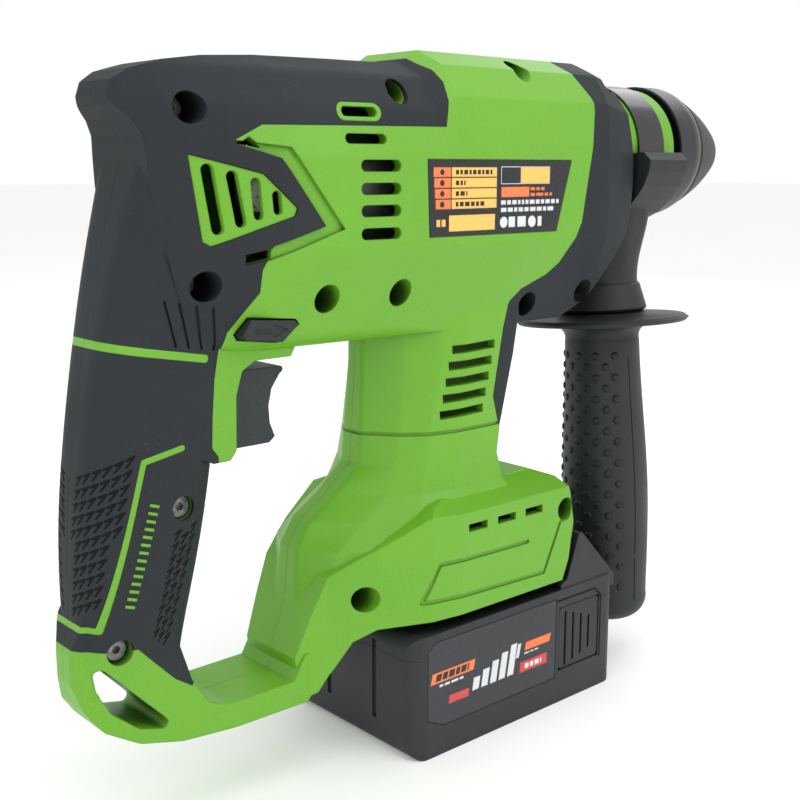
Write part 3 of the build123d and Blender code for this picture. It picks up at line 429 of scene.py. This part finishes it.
# rating label: cells and bars, no letters
label_tree = tree_of("rating_label")
orange, yellow, white, ink = [], [], [], []
for row in range(4):
    top = -6.8 - 3.72 * row
    left = -204.2 + 0.35 * row
    orange.append(oblong(left, top - 3.35, -195.8, top))
    yellow.append(oblong(-195.4, top - 3.35, -172.6, top))
    ink.append(disc(-200, top - 1.7, 1.1, 8 if row % 2 else 6))
    ink += words(-193.4, (-175, -188.6, -187.6, -179)[row], top - 2.5, top - 0.9, 1.0, 2.4)
yellow += words(-202.7, -198.3, -27.4, -24.9, 1.8, 2.0)
yellow.append(oblong(-196.6, -29.2, -173.3, -23.5))
white.append(oblong(-170.3, -12.9, -143.6, -6.5))
yellow.append(oblong(-159.7, -12.7, -143.8, -6.7))
ink.append(oblong(-170.0, -12.6, -159.9, -6.8))
orange.append(oblong(-170.1, -17.6, -155.0, -13.9))
orange += words(-154.3, -146.2, -15.3, -14.1) + words(-154.3, -142.2, -17.4, -16.2)
white += words(-170.2, -138.2, -20.3, -18.7, 1.2, 3.4) + words(-170.2, -141.0, -23.0, -21.4, 1.2, 3.4)
white += [disc(-168.6, -26.7, 2.1), oblong(-166.0, -28.6, -162.5, -24.7),
          oblong(-161.2, -28.6, -156.6, -24.7), disc(-153.2, -26.8, 2.2),
          oblong(-150.0, -28.7, -147.8, -24.9)]
side_rays = from_side(-1)
for key, shapes, material, lift in (("orange", orange, ORANGE, 0.06), ("white", white, WHITE, 0.05),
                                    ("yellow", yellow, YELLOW, 0.08), ("ink", ink, FILM, 0.11)):
    lay("label_" + key, shapes, side_rays, label_tree, material, "housing", lift=lift,
        step=30)

# battery panels: a block, a bar gauge and bars, no letters
PANEL_MIDDLE = -171.4
for side, word in ((-1, "right"), (1, "left")):
    panel_tree = tree_of("battery_panel_" + word)
    gauge = [oblong(-184.0 + 4.9 * i, -206.6, -180.4 + 4.9 * i, -201.4 + 1.9 * i, 0.9 + 0.35 * i)
             for i in range(5)]
    print_orange = [oblong(-206.2, -197.9, -183.4, -193.6, 1.1),
                    oblong(-154.4, -198.4, -139.2, -194.9, 1.0)]
    print_white = gauge + words(-201.5, -188.8, -199.8, -198.8) + words(-154.4, -146, -199.9, -199.2)
    print_white += [oblong(-159.4, -200.4, -157.6, -194.6, 1.4)]
    print_red = [oblong(-157.0, -207.4, -140.7, -202.8, 0.2),
                 oblong(-196.7, -208.0, -186.0, -204.6, 0.5)]
    print_ink = words(-203.6, -186.2, -197.1, -194.4, 1.6, 3.2, 0.7)
    badge = words(-154.0, -144.0, -206.2, -204.0, 1.6, 2.8)
    for key, shapes, material, lift in (("orange", print_orange, ORANGE, 0.06),
                                        ("white", print_white, WHITE, 0.06),
                                        ("red", print_red, CRIMSON, 0.06),
                                        ("ink", print_ink, FILM, 0.1), ("badge", badge, WHITE, 0.1)):
        if side > 0:
            shapes = [[(2 * PANEL_MIDDLE - x, z) for x, z in shape] for shape in shapes]
        lay("battery_print_" + key + "_" + word, shapes, from_side(side), panel_tree, material,
            "battery", lift=lift, step=40)

# side grip: rows of round bumps on the rear, a fine painted-shadow line along the groove where that
# panel ends
HANDLE_X = -72.0
HANDLE_LEAN = math.radians(4.0)
AXIS = Vector((0, -math.sin(HANDLE_LEAN), -math.cos(HANDLE_LEAN)))
ACROSS = Vector((0, -math.cos(HANDLE_LEAN), math.sin(HANDLE_LEAN)))


def round_handle(turn, along):
    """A ray towards the side grip's axis: degrees from its right side to its front, mm down the axis."""
    angle = math.radians(turn)
    out = ACROSS * math.cos(angle) + Vector((1, 0, 0)) * math.sin(angle)
    middle = Vector((HANDLE_X * MM, 0, 0)) + AXIS * along * MM
    return middle + out * ROUND_START, -out


side_tree = tree_of("side_grip")
# degrees per mm round the side grip, and the pattern of its bumps
DEGREES = 360 / (math.tau * 18)
BUMP_R = 1.8
BUMP_FIRST = -32.0
BUMP_TURN = 14.5
BUMP_TOP = 88.8
BUMP_STEP = 9.47
BUMP = moulded("bump_rubber", "131517", "181A1C", "24272A", (0.42, 0.55), 2600, 0.2)
bumps = []
for column in range(9):
    turn = BUMP_FIRST - BUMP_TURN * column
    for row in range(12 - column % 2):
        along = BUMP_TOP + BUMP_STEP * row + 4.7 * (column % 2)
        bumps.append([(turn + x * DEGREES, y) for x, y in disc(0, along, BUMP_R, 10)])
lay("side_grip_bumps", bumps, round_handle, side_tree, BUMP, "side_grip", lift=0.05,
    crown=0.6, step=1.6)
# painted shadow: dark strips along the grooves at the two borders of the bump panel
edge = []
for turn in (-8.0, -172.0):
    for i in range(24):
        low = 90 + 4.8 * i
        edge.append([(turn - 0.8, low), (turn + 0.8, low), (turn + 0.8, low + 4.8),
                     (turn - 0.8, low + 4.8)])
lay("side_grip_groove_shadows", edge, round_handle, side_tree, PAINTED_SHADOW, "side_grip", lift=0.04,
    step=6)
# painted shadow: a dark disc where the clamp neck's hole is
lay("clamp_neck_hole_shadow", [disc(-59.8, -61.8, 0.9)], from_side(-1), tree_of("clamp_body"), PAINTED_SHADOW,
    "side_clamp", lift=0.04, step=5)


# ---------------------------------------------------------------- floor, light, camera
FLOOR_SIZE = 30
TOOL_MIDDLE = (-0.17, 0, -0.1)
base_z = cad_box[0].z
bpy.ops.mesh.primitive_grid_add(x_subdivisions=4, y_subdivisions=4, size=FLOOR_SIZE,
                                location=(TOOL_MIDDLE[0], 0, base_z))
floor = bpy.context.object
floor.name = "floor"
pale = Graph("pale_floor")
paper = pale.mix(pale.ramp(pale.noise(3, 3), 0.3, 0.7), (0.86, 0.86, 0.86, 1), (0.90, 0.90, 0.90, 1))
pale.shader.inputs["Specular IOR Level"].default_value = 0.2
pale.shader.inputs["Roughness"].default_value = 0.8
pale.shader.inputs["Emission Color"].default_value = (1, 1, 1, 1)
pale.shader.inputs["Emission Strength"].default_value = 0.16
floor.data.materials.append(pale.done(paper))


def area_light(name, place, size, power, target=TOOL_MIDDLE):
    lamp = bpy.data.lights.new(name, "AREA")
    lamp.shape = "DISK"
    lamp.size = size
    lamp.energy = power
    obj = bpy.data.objects.new(name, lamp)
    bpy.context.scene.collection.objects.link(obj)
    obj.location = place
    aim = Vector(target) - Vector(place)
    obj.rotation_euler = aim.to_track_quat("-Z", "Y").to_euler()


area_light("top_soft", (-0.3, -0.3, 1.5), 1.4, 7)
area_light("key_right", (0.3, -1.5, 0.9), 1.1, 7)
area_light("fill_rear", (-1.5, -0.4, 0.5), 1.2, 2.5)
area_light("rim_front", (1.1, 0.4, 0.9), 1.0, 3, target=(-0.17, 0, 0))
# white near the horizon, dimmer overhead, so that the lamps model the form
world = bpy.data.worlds.new("studio")
world.use_nodes = True
sky = world.node_tree
sky_coords = sky.nodes.new("ShaderNodeTexCoord")
sky_axes = sky.nodes.new("ShaderNodeSeparateXYZ")
sky_ramp = sky.nodes.new("ShaderNodeValToRGB")
sky_ramp.color_ramp.elements[0].position = 0.16
sky_ramp.color_ramp.elements[0].color = (1, 1, 1, 1)
sky_ramp.color_ramp.elements[1].position = 0.45
sky_ramp.color_ramp.elements[1].color = (0.85, 0.85, 0.85, 1)
sky.links.new(sky_coords.outputs["Generated"], sky_axes.inputs[0])
sky.links.new(sky_axes.outputs["Z"], sky_ramp.inputs["Fac"])
sky.links.new(sky_ramp.outputs["Color"], sky.nodes["Background"].inputs["Color"])
sky.nodes["Background"].inputs["Strength"].default_value = 1.0
bpy.context.scene.world = world
bpy.context.scene.view_settings.view_transform = "Standard"

LENS = 52.785
EYE = Vector((-0.4872, -0.3375, -0.00706))
camera = bpy.data.objects.new("camera", bpy.data.cameras.new("camera"))
bpy.context.scene.collection.objects.link(camera)
RIGHT = Vector((0.74858584, -0.66303789, 0.0))
UP = Vector((0.12864586, 0.1452443, 0.9809966))
BACK = Vector((-0.65043792, -0.73436017, 0.1940249))
camera.matrix_world = Matrix((
    (RIGHT.x, UP.x, BACK.x, EYE.x),
    (RIGHT.y, UP.y, BACK.y, EYE.y),
    (RIGHT.z, UP.z, BACK.z, EYE.z),
    (0, 0, 0, 1),
))
camera.data.sensor_width = 36
camera.data.lens = LENS
camera.data.clip_start = 0.02
camera.data.clip_end = 50
bpy.context.scene.camera = camera
